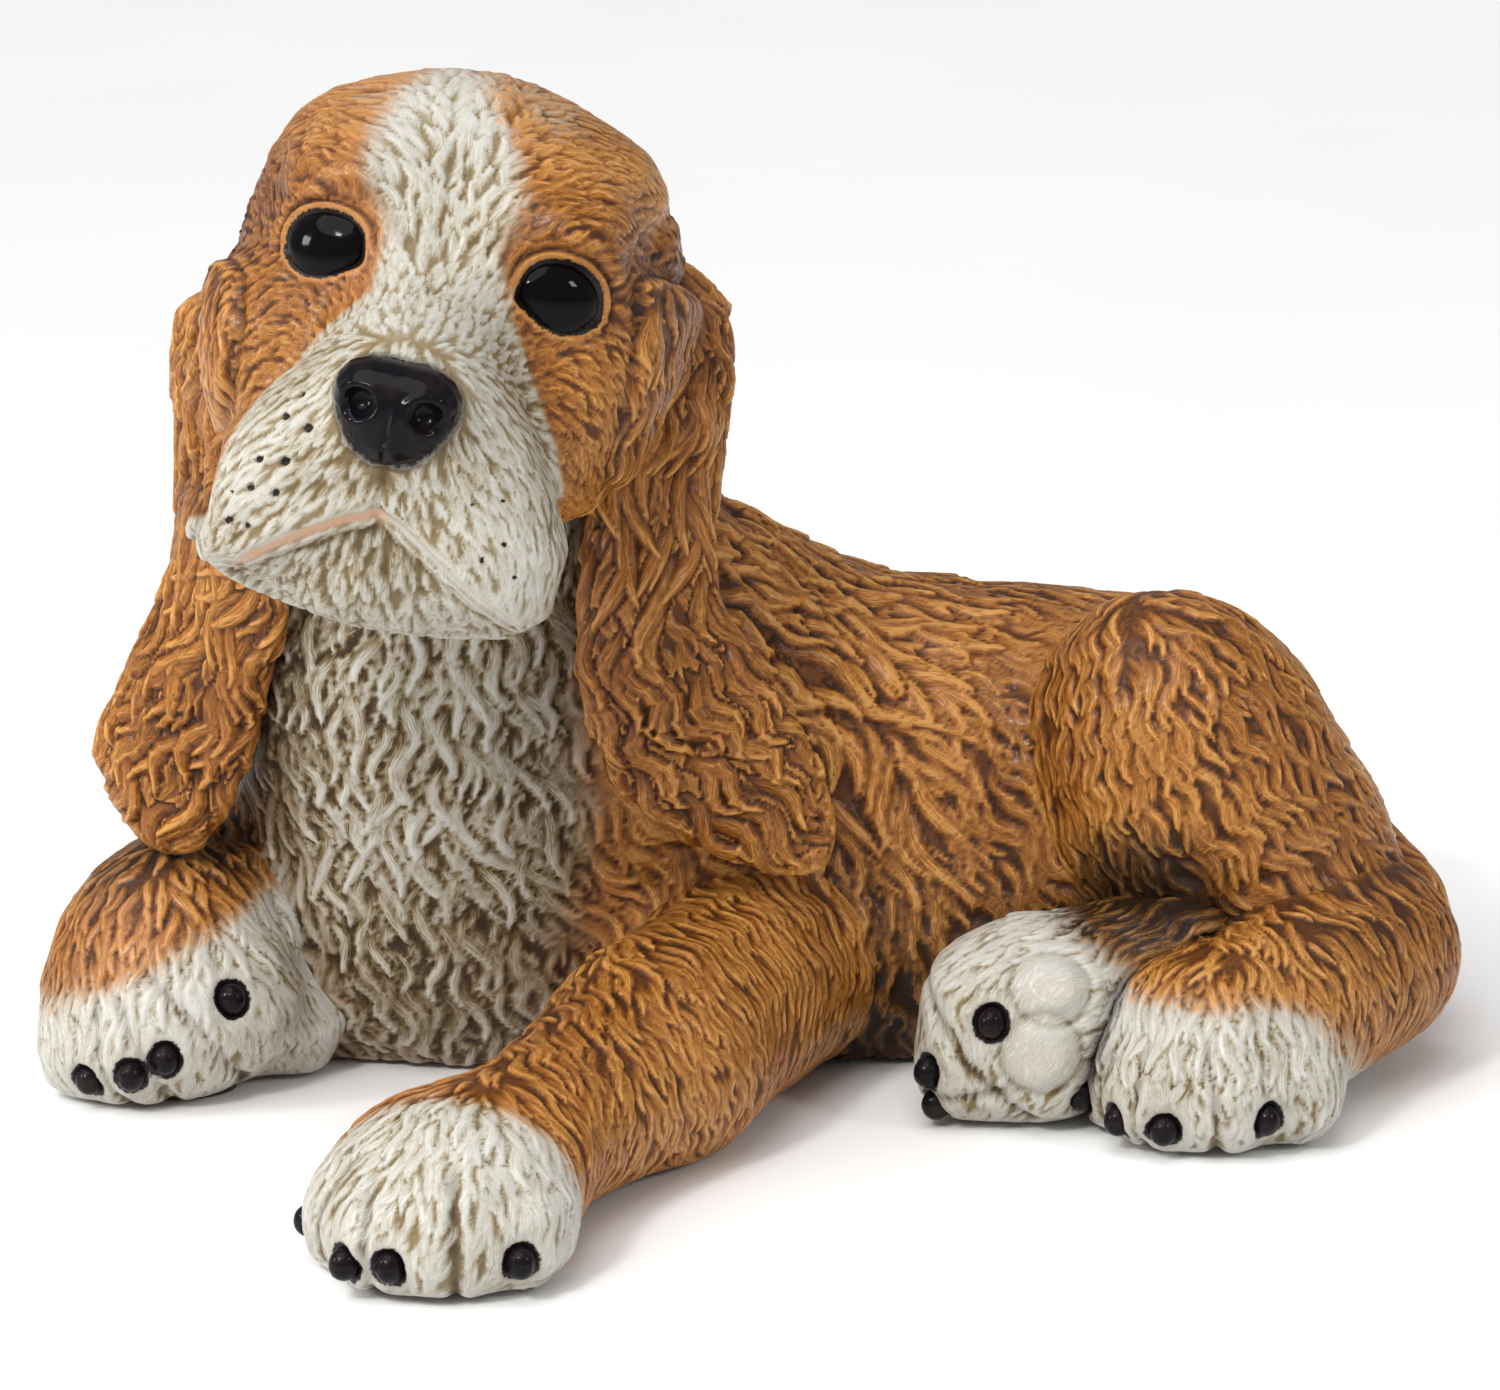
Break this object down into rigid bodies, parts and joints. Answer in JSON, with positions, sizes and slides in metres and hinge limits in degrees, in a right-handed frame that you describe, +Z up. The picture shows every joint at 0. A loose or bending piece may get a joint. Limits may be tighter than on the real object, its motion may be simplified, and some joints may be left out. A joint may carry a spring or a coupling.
{
  "type": "dog figurine",
  "caption": "Reclining spaniel puppy figurine in hand-tooled glazed ceramic, head raised and turned, forepaws out in front, felt pads underneath to rest on a shelf.",
  "frame": {"origin": "centre of the bounding box, on the floor that the felt pads rest on", "axes": "+Z up; +X along the body from the chest to the rump; the forepaw and the face are towards -Y"},
  "size_m": [0.286, 0.2228, 0.2064],
  "materials": {
    "body_glaze": "satin ginger stain, darker in the tool marks",
    "face_glaze": "satin cream and ginger stain, brown in the tool marks",
    "eye_glass": "polished black",
    "nose_glaze": "high gloss black",
    "claw_glaze": "glossy brown-black",
    "felt": "matt felt"
  },
  "bodies": {
    "root": {"torso": "body_glaze", "head": "face_glaze", "left_ear": "body_glaze", "right_ear": "body_glaze", "left_foreleg": "body_glaze", "right_foreleg": "body_glaze", "left_haunch": "body_glaze", "left_hind_foot": "body_glaze", "right_hind_foot": "body_glaze", "tail": "body_glaze", "left_eye": "eye_glass", "right_eye": "eye_glass", "nose": "nose_glaze", "left_foreleg_claw_1": "claw_glaze", "left_foreleg_claw_2": "claw_glaze", "left_foreleg_claw_3": "claw_glaze", "left_foreleg_claw_4": "claw_glaze", "right_foreleg_claw_1": "claw_glaze", "right_foreleg_claw_2": "claw_glaze", "right_foreleg_claw_3": "claw_glaze", "right_foreleg_claw_4": "claw_glaze", "left_hind_foot_claw_1": "claw_glaze", "left_hind_foot_claw_2": "claw_glaze", "left_hind_foot_claw_3": "claw_glaze", "left_hind_foot_claw_4": "claw_glaze", "right_hind_foot_claw_1": "claw_glaze", "right_hind_foot_claw_2": "claw_glaze", "right_hind_foot_claw_3": "claw_glaze", "felt_base_pad": "felt", "felt_pad_left_foreleg": "felt", "felt_pad_right_foreleg": "felt", "felt_pad_left_hind_foot": "felt", "felt_pad_right_hind_foot": "felt"}
  },
  "joints": []
}
